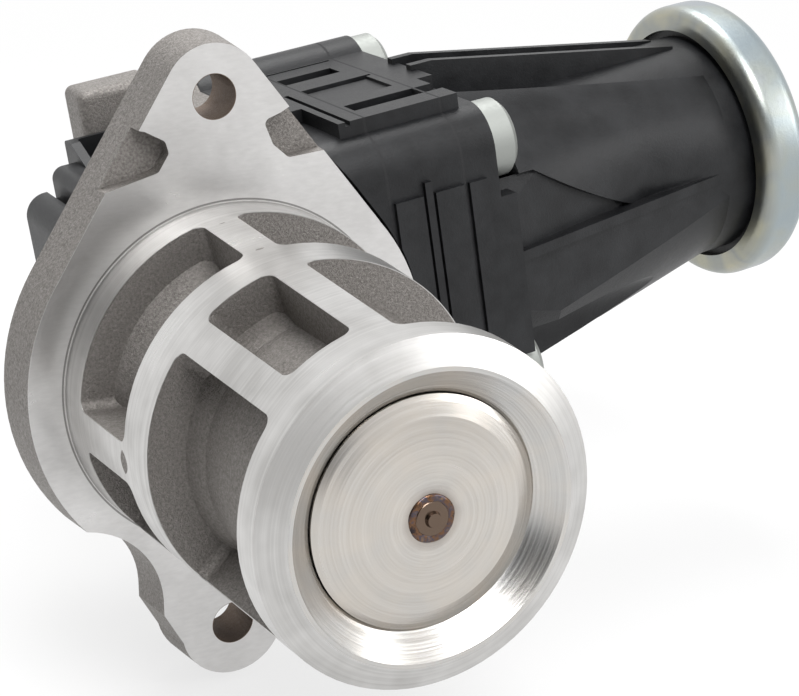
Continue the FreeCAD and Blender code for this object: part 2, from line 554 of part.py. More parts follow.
def cam_shaft():
    keep("cam_shaft", place(disc("X", "{shaft_left}", "{shaft_right}", "{shaft_radius}"), "0", SHAFT_BACK))
    bore = "{shaft_radius} + {running_fit}"
    keep("shaft_bush", place(ring("X", "{box_left}", "{room_left}", "{shaft_bush_radius}", bore), "0", SHAFT_BACK))
    keep("shaft_seal", place(ring("X", "{seal_start}", "{seal_start} + {seal_width}", "{bearing_radius}", bore),
                             "0", SHAFT_BACK))
    right = "({bearing_start} + {bearing_width})"
    race = "({bearing_radius} - {shaft_radius}) * 0.32"
    outer = ring("X", "{bearing_start}", right, "{bearing_radius}", "{bearing_radius} - " + race)
    inner = ring("X", "{bearing_start}", right, "{shaft_radius} + " + race, bore)
    middle = ring("X", "{bearing_start} + 0.6", right + " - 0.6", "{bearing_radius} - %s + 0.1" % race,
                  "{shaft_radius} + %s - 0.1" % race)
    keep("shaft_bearing", place(fuse(outer, inner, middle), "0", SHAFT_BACK))
    keep("sensor_magnet", place(disc("X", "{shaft_left} - {magnet_thick}", "{shaft_left}", "{shaft_bush_radius} - 1"),
                                "0", SHAFT_BACK))


# Gears: one tooth with involute flanks, drawn once and repeated round the rim
def half_tooth(module, teeth, radius):
    """Angle from a tooth's middle to its flank at a radius."""
    pitch = "(%s * %s / 2)" % (module, teeth)
    roll = "acos(%s * cos(20deg) / (%s))" % (pitch, radius)
    flank = "(tan(20deg) - tan(%s)) * 180deg / pi - 20deg + %s" % (roll, roll)
    return "(90deg / %s - {backlash} / %s * 90deg / pi + %s)" % (teeth, pitch, flank)


def gear(module, teeth, left, width, bore, tooth_angle, addendum="0.9"):
    pitch = "(%s * %s / 2)" % (module, teeth)
    root = "(%s - 1.2 * %s)" % (pitch, module)
    tip = "(%s + %s * %s)" % (pitch, addendum, module)
    base = "(%s * cos(20deg) + 0.001)" % pitch
    body = ring("X", left, "%s + %s" % (left, width), root, bore)
    radii = [base, "(%s + (%s - %s) / 3)" % (base, tip, base), "(%s - (%s - %s) / 3)" % (tip, tip, base), tip]
    flank = [(root + " - 0.2", "(%s - 0.14 * 180deg / pi / %s)" % (half_tooth(module, teeth, base), pitch))]
    flank += [(radius, half_tooth(module, teeth, radius)) for radius in radii]
    corners = []
    for side, points in ((1, flank), (-1, flank[::-1])):
        for radius, half in points:
            angle = "(%s + (%d) * %s)" % (tooth_angle, side, half)
            corners.append(("(%s) * cos(%s)" % (radius, angle), "(%s) * sin(%s)" % (radius, angle)))
    sketch = new_sketch(body, "YZ_Plane", left)
    draw_polygon(sketch, corners)
    doc.recompute()
    tooth = body.newObject("PartDesign::Pad", "Tooth")
    tooth.Profile = (sketch, [""])
    bind(tooth, "Length", width)
    doc.recompute()
    pattern = body.newObject("PartDesign::PolarPattern", "Teeth")
    pattern.Originals = [tooth]
    pattern.Axis = (origin_feature(body, "X_Axis"), [""])
    pattern.Angle = 360
    bind(pattern, "Occurrences", teeth)
    body.Tip = pattern
    doc.recompute()
    return body


def gears():
    idler = "{idler_angle} * 1deg"
    motor = "{motor_angle} * 1deg"
    cam_gear = gear("{coarse_module}", "{cam_gear_teeth}", "{cam_gear_left}", "{coarse_width}", "{shaft_radius}", idler)
    keep("cam_gear", place(cam_gear, "0", SHAFT_BACK))
    bore = "{idler_pin_radius} + {running_fit}"
    small = gear("{coarse_module}", "{small_teeth}", "{cam_gear_left}", "({big_gear_left} - {cam_gear_left})", bore,
                 "(%s + 180deg + 180deg / {small_teeth})" % idler)
    big = gear("{fine_module}", "{big_teeth}", "{big_gear_left}", "{fine_width}", bore, motor)
    keep("idler_gear", place(fuse(small, big), "0", IDLER_BACK, IDLER_UP))
    keep("idler_pin", place(disc("X", "{inner_case_floor} - 2", "{outer_case_floor} + 1.6", "{idler_pin_radius}"),
                            "0", IDLER_BACK, IDLER_UP))
    pinion = gear("{fine_module}", "{pinion_teeth}", "({big_gear_left} - 0.2)", "({fine_width} + 0.4)",
                  "{motor_shaft_radius}", "(%s + 180deg + 180deg / {pinion_teeth})" % motor)
    keep("motor_pinion", place(pinion, "0", MOTOR_BACK, MOTOR_UP))


# Case layers, from the casting outward
def front_pads():
    """Two shallow pads on the outer case's front and the taller column between them."""
    front, skin = "({screw_front} - {boss_size} - {pad_proud})", "({screw_front} - {boss_size} + 1)"
    left, right = "({inner_case_right} + {gasket} + 0.4)", "({outer_case_right} - 0.3)"
    middle = "({inner_case_right} + {gasket} + 6.3)"
    return [box("X", left, middle + " - 1.1", front, skin, "{screw_low}", "{pad_top}"),
            box("X", middle + " + 1.1", right, front, skin, "{screw_low}", "{pad_top}"),
            box("X", middle + " - 0.6", middle + " + 0.6", front, skin, "{screw_low}", "{pad_top} + 2")]


def roof_dents():
    """Pockets, panel and grooves moulded in the outer case's top."""
    left, right = "({inner_case_right} + {gasket})", "{outer_case_right}"
    return [top_dent(left + " - 1", "{outer_case_right} - 2.8", "38.5", "42.5", "{pocket_deep}"),
            top_dent(left + " + 0.6", right + " + 1", "13.8", "17.8", "{pocket_deep}"),
            top_dent(left + " - 1", right + " - 1.2", "{case_step} - 0.2", "{case_step} + 9.3", "{panel_deep}"),
            top_dent(left + " - 1", right + " - 0.3", "{case_step} + 9.3", "{case_step} + 10.1", "1.1"),
            top_dent(left + " - 1", right + " - 0.6", "47.2", "47.9", "0.8")]


def gear_case():
    inner_left = "({case_left} + {gasket})"
    outer_left = "({inner_case_right} + {gasket})"
    motor_left = "({outer_case_right} + {gasket})"
    sweep_radius = "{coarse_module} * ({cam_gear_teeth} / 2 + 1) + {gear_room}"
    pin = disc("X", "{inner_case_floor} - 2", "{outer_case_floor} + 1.6", "{idler_pin_radius}", IDLER_BACK, IDLER_UP)

    def sweep(left, right):
        return disc("X", left, right, sweep_radius, SHAFT_BACK)

    def layer(blank, left, right, *tools):
        return cut(blank, *screw_holes(left + " - 1", right + " + 1", "{screw_hole_radius}"), *tools)

    def seal(label, left, blank, *tools):
        keep(label, cut(place(layer(blank, left, left + " + {gasket}", *tools)), flange_relief()))

    def tiered(left, right, tier_left=None):
        return fuse(case_blank(left, right), upper_tier(tier_left or left, right))

    groove = top_dent("{tier_left} + 1.2", "{tier_left} + 2", "{tier_front} - 1", "{cover_rear} - 13", "0.7")
    inner = layer(tiered(inner_left, "{inner_case_right}", "{tier_left}"), inner_left, "{inner_case_right}", groove,
                  sweep("{inner_case_floor}", "{inner_case_right} + 1"), pin,
                  case_room("{inner_case_floor}", "{inner_case_right} + 1"),
                  disc("X", inner_left + " - 1", "{inner_case_floor} + 1", "{shaft_radius} + 1", SHAFT_BACK))
    keep("gear_cover", cut(place(inner), flange_relief()))
    nose = disc("X", "{outer_case_floor} - 1", "{outer_case_right} + 5", "{motor_nose_radius} - 0.9", MOTOR_BACK, MOTOR_UP)
    outer = layer(fuse(tiered(outer_left, "{outer_case_right}"), *front_pads()), outer_left, "{outer_case_right}",
                  sweep(outer_left + " - 1", "{outer_case_floor}"), pin, nose,
                  case_room(outer_left + " - 1", "{outer_case_floor}"), *roof_dents())
    keep("gear_housing", cut(place(outer), flange_relief()))
    seal("case_gasket", "{case_left}", case_blank("{case_left}", inner_left), disc("X", "{case_left} - 1", inner_left + " + 1", "{bearing_radius} + 0.2", SHAFT_BACK))
    seal("gear_gasket", "{inner_case_right}", tiered("{inner_case_right}", outer_left), case_room("{inner_case_right} - 1", outer_left + " + 1"),
         sweep("{inner_case_right} - 1", outer_left + " + 1"))
    seal("motor_gasket", "{outer_case_right}", tiered("{outer_case_right}", motor_left),
         disc("X", "{outer_case_right} - 1", motor_left + " + 1", "{motor_nose_radius}", MOTOR_BACK, MOTOR_UP))


def housing_screws():
    """Four long screws through the case into the casting, with washer heads."""
    head = "({motor_flange_right} + {screw_head})"
    screws = []
    for back, up in SCREWS:
        screw = turned("X", [("{screw_left}", "0"), ("{screw_left}", "{screw_radius}"),
                             ("{motor_flange_right}", "{screw_radius}"), ("{motor_flange_right}", "{screw_head_radius}"),
                             (head + " - 0.9", "{screw_head_radius}"), (head, "{screw_head_radius} - 0.9"),
                             (head, "{screw_socket_radius}"), (head + " - 2.2", "{screw_socket_radius}"),
                             (head + " - 2.2", "0")])
        screws.append(place(screw, "0", back, up))
    group = doc.addObject("Part::Compound", "Screws")
    group.Links = screws
    keep("housing_screws", group)


# Motor and its moulded housing
def gusset(radius, end, up_low, up_high, slope):
    """Cone round the motor tube, kept behind a plane that leans back along the motor."""
    left = "({motor_flange_right} - 1)"
    cone = turned("X", [(left, "0"), (left, radius), ("{rib_start}", radius), (end, "{tube_radius} - 0.2"), (end, "0")])
    bind(cone, "Placement.Base.y", MOTOR_BACK)
    bind(cone, "Placement.Base.z", MOTOR_UP)
    start = "({screw_front} - {boss_size} + 1.2)"
    side = slab("Z", up_low, up_high, [
        (left, start), (end, "%s + %s * (%s - {motor_flange_right})" % (start, slope, end)),
        (end, MOTOR_BACK), (left, MOTOR_BACK)])
    return common(cone, side)


def tube_rib(axis, height, root, edge, reach, end):
    """Thin fin from the flange plate's edge down to the tube."""
    half = "{rib_thick} / 2"
    left = "({motor_flange_right} - 1)"
    return slab(axis, "%s - %s" % (height, half), "%s + %s" % (height, half), [
        (left, root), (left, edge), ("{motor_flange_right} + 3", edge), (end, reach), (end, root)])


def motor_housing():
    """Flange plate and tube, stiffened by tapering gussets and ribs."""
    left = "({outer_case_right} + {gasket})"
    plate = fuse(case_blank(left, "{motor_flange_right}"), upper_tier(left, "{tier_right}"),
                 box("X", left + " + 0.2", "{tier_right} + 0.4", "{screw_front} - {boss_size} - {pad_proud}",
                     "{screw_front}", "{screw_low}", "{pad_top}"))
    foot = box("X", "{motor_flange_right} - 1", "{foot_right}", "{screw_front} - {boss_size}", MOTOR_BACK,
               "-{foot_top}", "{foot_top}")
    tube = disc("X", left, "{tube_right}", "{tube_radius}", MOTOR_BACK, MOTOR_UP)
    lip = disc("X", "{cap_left} + {cap_wall} + 0.1", "{tube_right}", LIP_RADIUS, MOTOR_BACK, MOTOR_UP)
    pad = gusset("{pad_radius}", "{pad_end}", "{front_rib_up}", "{screw_top} - 5", "0.25")
    skirt = gusset("{gusset_radius}", "{gusset_end}", "{screw_low} - {boss_size} + 1", "{front_rib_up}", "0.16")
    top, low = "({case_top} + 0.9)", "({screw_low} - {boss_size} + 0.8)"
    front, rear = "({screw_front} - {boss_size} + 0.9)", "({screw_rear} + {boss_size} - 1)"
    end, short = "{gusset_end}", "({gusset_end} - 3)"
    ribs = [tube_rib("Y", MOTOR_BACK + " - 3.2", MOTOR_UP, top, MOTOR_UP + " + {tube_radius}", end),
            tube_rib("Y", MOTOR_BACK + " + 3.6", MOTOR_UP, top, MOTOR_UP + " + {tube_radius}", end),
            tube_rib("Y", MOTOR_BACK, MOTOR_UP, low, MOTOR_UP + " - {tube_radius}", end),
            tube_rib("Z", "{front_rib_up}", MOTOR_BACK, front, MOTOR_BACK + " - {tube_radius}", short),
            tube_rib("Z", MOTOR_UP, MOTOR_BACK, rear, MOTOR_BACK + " + {tube_radius}", short)]
    bore = disc("X", left + " + {tube_front_wall}", "{tube_right} + 1", "{can_radius} + {tube_gap}", MOTOR_BACK, MOTOR_UP)
    nose = disc("X", left + " - 1", left + " + 9", "{motor_nose_radius}", MOTOR_BACK, MOTOR_UP)
    channels = screw_holes("{motor_flange_right}", end + " + 2", "{screw_head_radius} + {case_gap}")
    dent = top_dent(left + " - 1", "{tier_right} + 1", "13.8", "17.8", "{pocket_deep}")
    body = cut(fuse(plate, tube, lip, cut(fuse(pad, skirt, foot, *ribs), *channels)), bore, nose, dent,
               *screw_holes(left + " - 1", "{motor_flange_right} + 1", "{screw_hole_radius}"))
    keep("motor_housing", place(body))


def motor():
    at = ("0", MOTOR_BACK, MOTOR_UP)
    inner = "({can_radius} - {can_wall})"
    nose = "{motor_bearing_radius}"
    fit = "{motor_shaft_radius} + {running_fit}"
    keep("motor_can", place(turned("X", [
        ("{can_left}", nose), ("{can_left}", "{can_radius}"), (CAN_RIGHT, "{can_radius}"), (CAN_RIGHT, inner),
        ("{can_left} + {can_wall}", inner), ("{can_left} + {can_wall}", nose)]), *at))
    keep("motor_bearing_front", place(ring("X", "{can_left}", "{can_left} + 2.5", nose, fit), *at))
    keep("motor_end_bell", place(ring("X", CAN_RIGHT + " - 2", CAN_RIGHT, inner, nose), *at))
    keep("motor_bearing_rear", place(ring("X", CAN_RIGHT + " - 2.5", CAN_RIGHT, nose, fit), *at))
    keep("motor_shaft", place(disc("X", "{big_gear_left} - 0.2", CAN_RIGHT + " - 0.5", "{motor_shaft_radius}"), *at))
    ring_magnet = ring("X", "{rotor_left} - 2", ROTOR_RIGHT + " + 2", inner, "{magnet_inner_radius}")
    split = box("X", "{rotor_left} - 3", ROTOR_RIGHT + " + 3", "-30", "30", "-4", "4")
    keep("motor_magnets", place(cut(ring_magnet, split), *at))
    slots = [disc("X", "0", "150", "{motor_shaft_radius}")]
    for turn in range(0, 360, 72):
        slot = box("X", "{rotor_left} - 1", ROTOR_RIGHT + " + 1", "{rotor_radius} * 0.45", "{rotor_radius} + 2", "-1.1", "1.1")
        slot.Placement = FreeCAD.Placement(V(), FreeCAD.Rotation(V(1, 0, 0), turn))
        slots.append(slot)
    keep("rotor_core", place(cut(disc("X", "{rotor_left}", ROTOR_RIGHT, "{rotor_radius}"), *slots), *at))
    windings = [ring("X", low, high, "{rotor_radius} - 1.5", "{motor_shaft_radius}")
                for low, high in (("{rotor_left} - 3", "{rotor_left}"), (ROTOR_RIGHT, ROTOR_RIGHT + " + 3"))]
    keep("rotor_windings", place(fuse(*windings), *at))
    commutator_left = "(%s - {commutator_inset})" % CAN_RIGHT
    commutator_right = "(%s + {commutator_width})" % commutator_left
    keep("commutator", place(ring("X", commutator_left, commutator_right, "{commutator_radius}",
                                  "{motor_shaft_radius}"), *at))
    keep("brush_holder", place(ring("X", commutator_right + " + 0.5", CAN_RIGHT + " - 2", inner,
                                    "{motor_bearing_radius} + 0.5"), *at))
    brushes = [box("X", commutator_left + " + 0.8", commutator_right + " + 0.5", low, high, "-1.6", "1.6")
               for low, high in (("{commutator_radius} + 0.1", "{commutator_radius} + {brush_long}"),
                                 ("-{commutator_radius} - {brush_long}", "-{commutator_radius} - 0.1"))]
    keep("brushes", place(fuse(*brushes), *at))
    disc_left = "({cap_right} - {cap_wall})"
    keep("motor_spacer", place(ring("X", CAN_RIGHT, disc_left, "{can_radius}", "{can_radius} - 3"), *at))
    keep("cap_seal", place(ring("X", "{tube_right}", disc_left, LIP_RADIUS + " - 1.4", "{can_radius} + 1"), *at))


def end_cap():
    """Pressed cup, curled in behind the tube's lip."""
    left, right, wall, inside = "{cap_left}", "{cap_right}", "{cap_wall}", "(%s - {cap_wall})" % CAP_RADIUS
    keep("end_cap", place(turned("X", [
        (left, "{tube_radius} + {cap_mouth_gap}"), (left, CAP_RADIUS + " - 1.6"), (left + " + 0.45", CAP_RADIUS + " - 0.5"),
        (left + " + 1.6", CAP_RADIUS), (right + " - 2.4", CAP_RADIUS), (right + " - 0.7", CAP_RADIUS + " - 0.7"),
        (right, CAP_RADIUS + " - 2.4"), (right, "0"), ("%s - %s" % (right, wall), "0"),
        ("%s - %s" % (right, wall), CAP_RADIUS + " - 2.4"), (right + " - 2.4", inside),
        ("%s + %s" % (left, wall), inside), ("%s + %s" % (left, wall), "{tube_radius} + {cap_mouth_gap}")]),
        "0", MOTOR_BACK, MOTOR_UP))


# Position sensor on the cam shaft's free end, under a cover that carries the connector
def cover_outline(left, right):
    plate = box("X", left, right, "{cover_front}", "{cover_rear}", "{cover_low}", "{cover_top}")
    return fuse(plate, *[disc("X", left, right, "{lobe_radius}", *at) for at in COVER_SCREWS])


def sensor_room(left, right, gap="0"):
    return box("X", left, right, "{cover_front} + {room_side} + " + gap, "{cover_rear} - {room_side} - " + gap,
               "{cover_low} + {room_low} + " + gap, "{cover_top} - {room_top} - " + gap)


def cover_holes(left, right):
    return [disc("X", left, right, "{cover_screw_radius} + 0.2", *at) for at in COVER_SCREWS]


def socket_floor():
    return "({box_half_height} + {bridge_gap} + {bridge_thick} + 0.4)"


def terminals():
    """Five blades that stand in the connector's socket."""
    half = "{terminal_size} / 2"
    back = "(({socket_front} + {socket_rear}) / 2)"
    pins = []
    for step in range(-2, 3):
        along = "(({socket_left} + {socket_right}) / 2 + %d * {terminal_pitch})" % step
        pins.append(box("X", "%s - %s" % (along, half), "%s + %s" % (along, half), "%s - %s" % (back, half),
                        "%s + %s" % (back, half), socket_floor() + " - 2", socket_floor() + " + {terminal_long}"))
    return pins


def sensor_cover():
    """Cover plate, bridge over the cam box and a socket that opens upwards."""
    right = "({box_left} - {cover_gasket})"
    low, high = "({box_half_height} + {bridge_gap})", "({box_half_height} + {bridge_gap} + {bridge_thick})"
    bridge = box("X", "{cover_left} + 3", "{socket_right}", "{socket_front}", "{cover_rear}", low, high)
    upright = box("X", "{cover_left}", right, "{cover_front} + 1", "{cover_rear}", "{cover_top} - 1", "{upright_top}")
    step = box("X", "{step_left}", "{socket_left} + 1", "{cover_front} + 2.5", "{cover_rear}", low, "{step_top}")
    block = slab("X", "{socket_left}", "{socket_right}", [
        ("{socket_front}", low), ("{socket_rear}", low), ("{socket_rear}", "{socket_top}"),
        ("{socket_rear} - 3.4", "{socket_top}"), ("{socket_front}", "{socket_front_top}")])
    mouth = box("X", "{socket_left} + {socket_wall}", "{socket_right} - {socket_wall}",
                "{socket_front} + {socket_wall}", "{socket_rear} - {socket_wall}", socket_floor(), "{socket_top} + 1")

    def left_top_edge(edge):
        middle = edge.valueAt((edge.FirstParameter + edge.LastParameter) / 2)
        bounds = upright_or_step.Shape.BoundBox
        return runs_along("Y")(edge) and middle.x < bounds.XMin + 0.1 and middle.z > bounds.ZMax - 0.1

    upright_or_step = upright
    soften(upright, "3.6", left_top_edge)
    upright_or_step = step
    soften(step, "2", left_top_edge)
    body = fuse(cover_outline("{cover_left}", right), upright, step, bridge, soften(block, "0.8", runs_along("X")))
    relief = disc("Y", "{flange_thick}", "{boss_rear} + {bridge_gap}", "{boss_radius} + {bridge_gap}")
    cover = cut(body, soften(mouth, "1", runs_along("Z")), *terminals(),
                sensor_room("{cover_left} + {cover_wall}", right + " + 1"),
                *cover_holes("{cover_left} - 1", right + " + 1"))
    keep("sensor_cover", cut(place(cover), relief))
    gasket = cut(cover_outline(right, "{box_left}"), sensor_room(right + " - 1", "{box_left} + 1"),
                 *cover_holes(right + " - 1", "{box_left} + 1"))
    keep("cover_gasket", cut(place(gasket), relief))
    board_left = "({cover_left} + {cover_wall})"
    keep("sensor_board", place(sensor_room(board_left, board_left + " + {board_thick}", "{board_gap}")))
    keep("connector_terminals", place(fuse(*terminals())))


def cover_screws():
    left, right = "{cover_left}", "{box_left} + 2.8"
    screws = []
    for back, up in COVER_SCREWS:
        screw = turned("X", [(left + " - 1.8", "0"), (left + " - 1.8", "2.2"), (left + " - 1.3", "2.8"), (left, "2.8"),
                             (left, "{cover_screw_radius}"), (right, "{cover_screw_radius}"), (right, "0")])
        screws.append(place(screw, "0", back, up))
    group = doc.addObject("Part::Compound", "CoverScrews")
    group.Links = screws
    keep("cover_screws", group)


valve_body()
seat_and_poppet()
stem_guide()
return_spring()
follower()
lift_cam()
cam_shaft()
gears()
gear_case()
housing_screws()
motor_housing()
motor()
end_cap()
sensor_cover()
cover_screws()
doc.recompute()

faults = [item.Name for item in doc.Objects if {"Invalid", "Error"} & set(item.State)]
for label, item in nodes.items():
    if item.Shape.isNull() or not item.Shape.isValid():
        faults.append(label)
if faults:
    raise SystemExit("Not built: " + ", ".join(faults))
os.makedirs("parts", exist_ok=True)
for label, item in nodes.items():
    item.Shape.exportStep("parts/%s.step" % label)
print(len(nodes), "sub-parts")
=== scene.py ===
"""EGR valve: finishes, small surface pieces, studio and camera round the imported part."""
import math

import bmesh
import bpy
import numpy as np
from mathutils import Matrix, Vector


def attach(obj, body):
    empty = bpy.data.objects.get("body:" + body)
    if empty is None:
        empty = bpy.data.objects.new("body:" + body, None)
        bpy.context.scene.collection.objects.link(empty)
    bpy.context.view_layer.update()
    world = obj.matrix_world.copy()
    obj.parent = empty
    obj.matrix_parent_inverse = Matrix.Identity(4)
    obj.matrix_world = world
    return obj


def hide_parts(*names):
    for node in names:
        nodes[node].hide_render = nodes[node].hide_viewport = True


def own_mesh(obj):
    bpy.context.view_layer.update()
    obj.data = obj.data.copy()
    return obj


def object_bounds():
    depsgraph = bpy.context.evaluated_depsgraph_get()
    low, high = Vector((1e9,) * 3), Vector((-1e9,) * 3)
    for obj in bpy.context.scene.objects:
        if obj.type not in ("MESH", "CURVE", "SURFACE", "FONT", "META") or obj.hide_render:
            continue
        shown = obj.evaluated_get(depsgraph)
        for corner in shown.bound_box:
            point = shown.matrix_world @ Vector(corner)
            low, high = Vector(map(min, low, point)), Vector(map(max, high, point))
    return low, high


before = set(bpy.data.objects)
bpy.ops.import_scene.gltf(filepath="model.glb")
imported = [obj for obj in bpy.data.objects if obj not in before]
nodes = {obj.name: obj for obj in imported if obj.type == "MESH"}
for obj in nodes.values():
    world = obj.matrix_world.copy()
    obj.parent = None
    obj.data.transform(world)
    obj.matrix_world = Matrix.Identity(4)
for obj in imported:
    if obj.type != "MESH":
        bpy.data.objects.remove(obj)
cad_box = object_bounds()

MM = 0.001

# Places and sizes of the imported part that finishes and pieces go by, in millimetres
LEAN = math.radians(8.0)
COLLAR_RADIUS, LIP_RADIUS, LIP_FRONT = 26.3, 23.2, 61.0
HOLE_X, TOP_HOLE_Z, LOW_HOLE_Z, HOLE_RADIUS = -1.7, 41.9, -40.1, 3.3
POPPET_FRONT = 62.3
MOTOR_BACK, MOTOR_UP, TUBE_RADIUS = 31.944, 3.199, 19.6
FLANGE_RIGHT, HEAD_RIGHT = 50.0, 54.7
SPRING_FLOOR, PLATE_REAR, SPRING_RADIUS, SPRING_WIRE, SPRING_COILS = -4.0, 20.0, 5.9, 1.6, 6.5
CAP_LEFT, CAP_RIGHT, CAP_RADIUS, CAP_MOUTH, CAP_WALL = 103.6, 112.8, 24.9, 20.9, 1.2

# The photograph's frame, focal length and optical centre, in pixels
FRAME_WIDTH, FRAME_HEIGHT = 799, 696
FOCAL, CENTRE_ACROSS, CENTRE_DOWN = 2046.78, 384.58, 292.97


def add_camera():
    """Camera at an azimuth and elevation round a target, rolled about its own axis.

    Its place and lens are fitted to the flange face, the poppet's circle and the cap's circle.
    """
    azimuth, elevation, roll = (math.radians(angle) for angle in (-26.53, 16.6, -0.65))
    target, distance, film_width, nearest = Vector((25.02, 0, 8.90)), 312.17, 36.0, 0.01
    back = Vector((math.sin(azimuth) * math.cos(elevation), -math.cos(azimuth) * math.cos(elevation),
                   math.sin(elevation)))
    right = Vector((math.cos(azimuth), math.sin(azimuth), 0))
    up = back.cross(right)
    turned_right = right * math.cos(roll) + up * math.sin(roll)
    turned_up = up * math.cos(roll) - right * math.sin(roll)
    place = target * MM + back * distance * MM
    camera = bpy.data.objects.new("camera", bpy.data.cameras.new("camera"))
    axes = Matrix((turned_right, turned_up, back)).transposed().to_4x4()
    camera.matrix_world = Matrix.Translation(place) @ axes
    camera.data.sensor_width = film_width
    camera.data.lens = film_width * FOCAL / FRAME_WIDTH
    camera.data.shift_x = (FRAME_WIDTH / 2 - CENTRE_ACROSS) / FRAME_WIDTH
    camera.data.shift_y = (CENTRE_DOWN - FRAME_HEIGHT / 2) / FRAME_WIDTH
    camera.data.clip_start = nearest
    bpy.context.scene.collection.objects.link(camera)
    bpy.context.scene.camera = camera


def opaque(value):
    """Red, green, blue and alpha of a colour, or of a grey that is given as one number."""
    return (*value, 1) if isinstance(value, tuple) else (value, value, value, 1)


class Nodes:
    """The nodes of a shader tree, which add and calc make and wire as sockets are passed in."""

    def __init__(self, tree):
        self.tree = tree

    def feed(self, socket, value):
        """Link another socket to a socket, or give it a value."""
        if isinstance(value, bpy.types.NodeSocket):
            self.tree.links.new(value, socket)
        else:
            socket.default_value = value

    def add(self, kind, settings=None, output=0, **inputs):
        """Make a node. An input is named by its label, or as i0, i1 and so on by its number."""
        node = self.tree.nodes.new("ShaderNode" + kind)
        for label, value in (settings or {}).items():
            setattr(node, label, value)
        for label, value in inputs.items():
            numbered = label[0] == "i" and label[1:].isdigit()
            self.feed(node.inputs[int(label[1:]) if numbered else label.replace("_", " ")], value)
        return node.outputs[output]

    def calc(self, operation, *values):
        """Arithmetic on numbers and sockets."""
        inputs = {"i%d" % place: value for place, value in enumerate(values)}
        return self.add("Math", {"operation": operation}, **inputs)

    def seen_white(self):
        """1 for rays that see the white surround itself: from the camera, off a gloss or through glass."""
        camera, glossy, through = (self.add("LightPath", output=label) for label in
                                   ("Is Camera Ray", "Is Glossy Ray", "Is Transmission Ray"))
        return self.calc("MAXIMUM", self.calc("MAXIMUM", camera, glossy), through)


class Finish(Nodes):
    """A procedural material, whose surface is set from what its nodes give."""

    def __init__(self, name, **surface):
        self.material = bpy.data.materials.new(name)
        self.material.use_nodes = True
        super().__init__(self.material.node_tree)
        self.surface = self.tree.nodes["Principled BSDF"]
        self.set(**surface)

    def set(self, **inputs):
        """Give the surface's inputs their sockets or values."""
        for label, value in inputs.items():
            self.feed(self.surface.inputs[label.replace("_", " ")], value)

    def spot(self):
        """Object coordinates in millimetres."""
        here = self.add("TexCoord", output="Object")
        return self.add("VectorMath", {"operation": "SCALE"}, Vector=here, Scale=1 / MM)

    def split(self, vector):
        """The x, y and z of a vector."""
        return tuple(self.add("SeparateXYZ", i0=vector).node.outputs)

    def noise(self, vector, scale, detail=3.0, rough=0.55):
        """Cloudy noise, with a scale per millimetre."""
        return self.add("TexNoise", Vector=vector, Scale=scale, Detail=detail, Roughness=rough)

    def ramp(self, factor, *stops):
        """Colours or greys by a factor, from (position, value) stops."""
        node = self.tree.nodes.new("ShaderNodeValToRGB")
        bar = node.color_ramp
        while len(bar.elements) < len(stops):
            bar.elements.new(0.5)
        for element, (position, value) in zip(bar.elements, stops):
            element.position = position
            element.color = opaque(value)
        self.feed(node.inputs[0], factor)
        return node.outputs[0]

    def mix(self, factor, first, second):
        """A blend of two colours, greys or sockets."""
        first, second = (value if isinstance(value, bpy.types.NodeSocket) else opaque(value)
                         for value in (first, second))
        return self.add("Mix", {"data_type": "RGBA"}, 2, i0=factor, i6=first, i7=second)

    def bump(self, height, distance, strength):
        """Normal of a surface with a height, whose distance is in millimetres."""
        return self.add("Bump", Height=height, Distance=distance * MM, Strength=strength)

    def within(self, value, centre, half):
        """1 where a value lies within half of a centre, else 0."""
        return self.calc("COMPARE", value, centre, half)

    def radius(self, across, upward, at=(0.0, 0.0)):
        """Distance from an axis in a plane."""
        first = self.calc("POWER", self.calc("SUBTRACT", across, at[0]), 2.0)
        second = self.calc("POWER", self.calc("SUBTRACT", upward, at[1]), 2.0)
        return self.calc("SQRT", self.calc("ADD", first, second))


def lathe_marks(finish, radius, x, y, z, scale):
    """Turning marks about the stem's axis: noise that changes with radius and depth, hardly with the turn."""
    wander = 0.25
    turn = finish.calc("ARCTAN2", z, x)
    across = finish.calc("MULTIPLY_ADD", finish.calc("SINE", turn), wander, radius)
    beside = finish.calc("MULTIPLY", finish.calc("COSINE", turn), wander)
    return finish.noise(finish.add("CombineXYZ", X=across, Y=y, Z=beside), scale, detail=4.0, rough=0.62)


def round_the_stem(finish, x, z):
    """World direction that runs round the stem's axis, for the stretched shine of turned metal."""
    way = finish.add("CombineXYZ", X=z, Y=0.0, Z=finish.calc("MULTIPLY", x, -1.0))
    way = finish.add("VectorMath", {"operation": "NORMALIZE"}, i0=way)
    to_world = {"vector_type": "VECTOR", "convert_from": "OBJECT", "convert_to": "WORLD"}
    return finish.add("VectorTransform", to_world, Vector=way)


